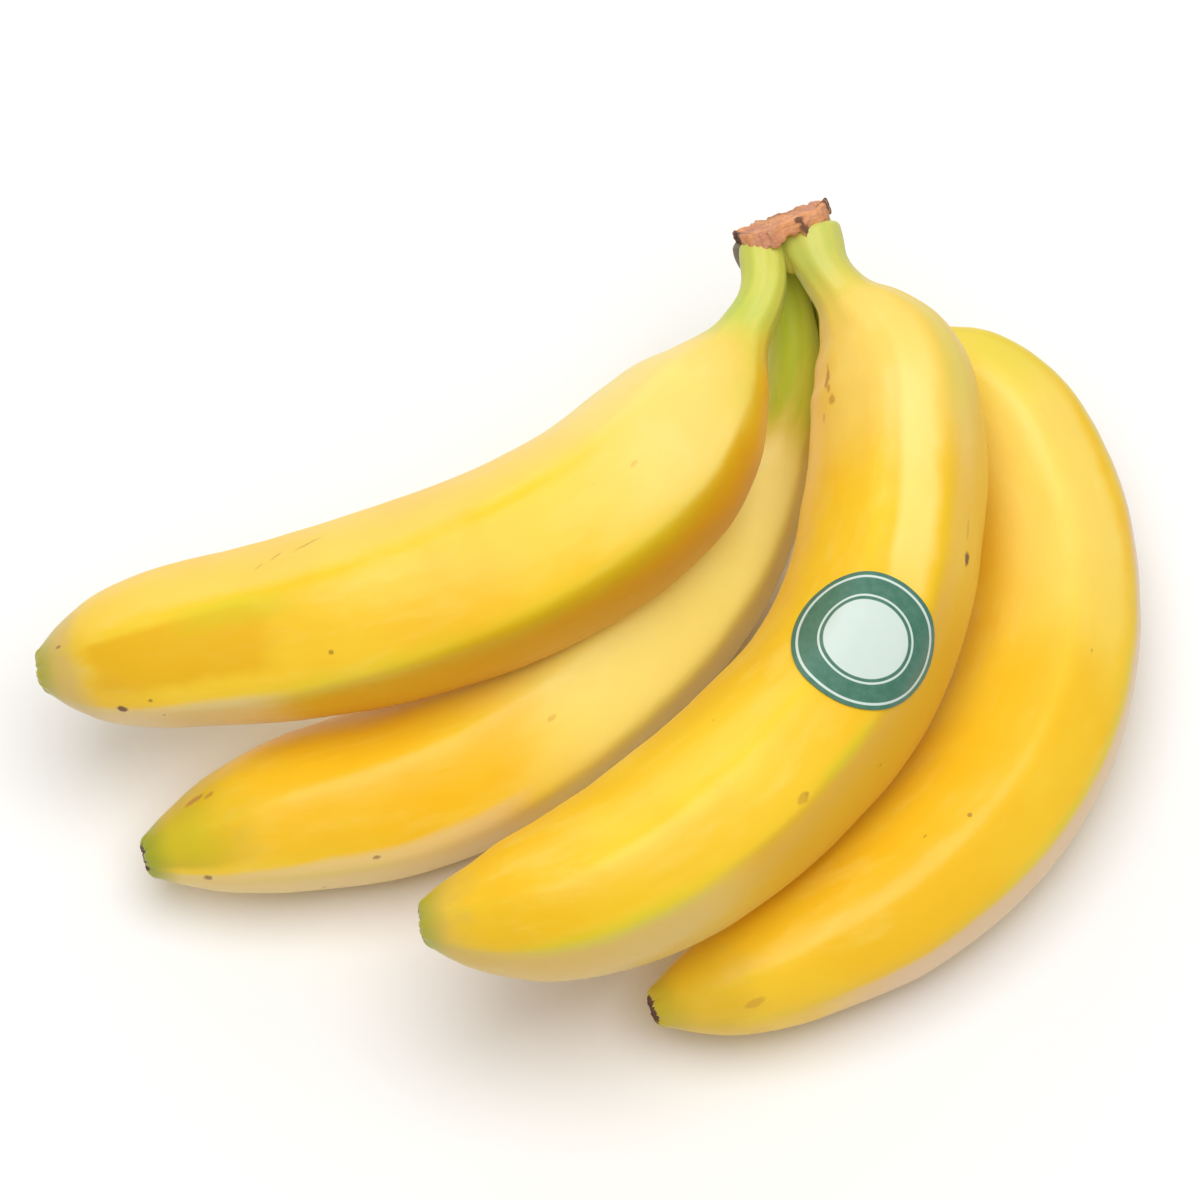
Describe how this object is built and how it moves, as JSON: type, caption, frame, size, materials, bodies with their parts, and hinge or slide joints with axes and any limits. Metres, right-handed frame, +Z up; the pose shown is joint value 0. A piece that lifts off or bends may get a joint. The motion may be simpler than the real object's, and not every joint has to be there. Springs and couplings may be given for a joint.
{
  "type": "bunch of bananas",
  "caption": "Bunch of ripe bananas fanned from one cut crown, lying on its lower fruits, with a plain round label on the front fruit.",
  "frame": {"origin": "on the table, under the middle of the bunch's outline seen from above", "axes": "+Z up from the table, +X across the fan from the left tips to the right fruit, +Y towards the crown"},
  "size_m": [0.2201, 0.1635, 0.0723],
  "materials": {
    "peel_upper_left": "ripe banana peel, satin, yellow with a green stalk and tip",
    "peel_lower_left": "ripe banana peel, satin, yellow with a green stalk and tip",
    "peel_upper_front": "ripe banana peel, satin, yellow with a green stalk and tip",
    "peel_lower_right": "ripe banana peel, satin, yellow with a green stalk and tip",
    "crown": "dried cut fibre, matt, tan with dark brown edges",
    "label": "thin printed film, satin, green with a pale middle"
  },
  "bodies": {
    "root": {"banana_upper_left": "peel_upper_left", "banana_lower_left": "peel_lower_left", "banana_upper_front": "peel_upper_front", "banana_lower_right": "peel_lower_right", "crown": "crown", "label": "label"}
  },
  "joints": []
}
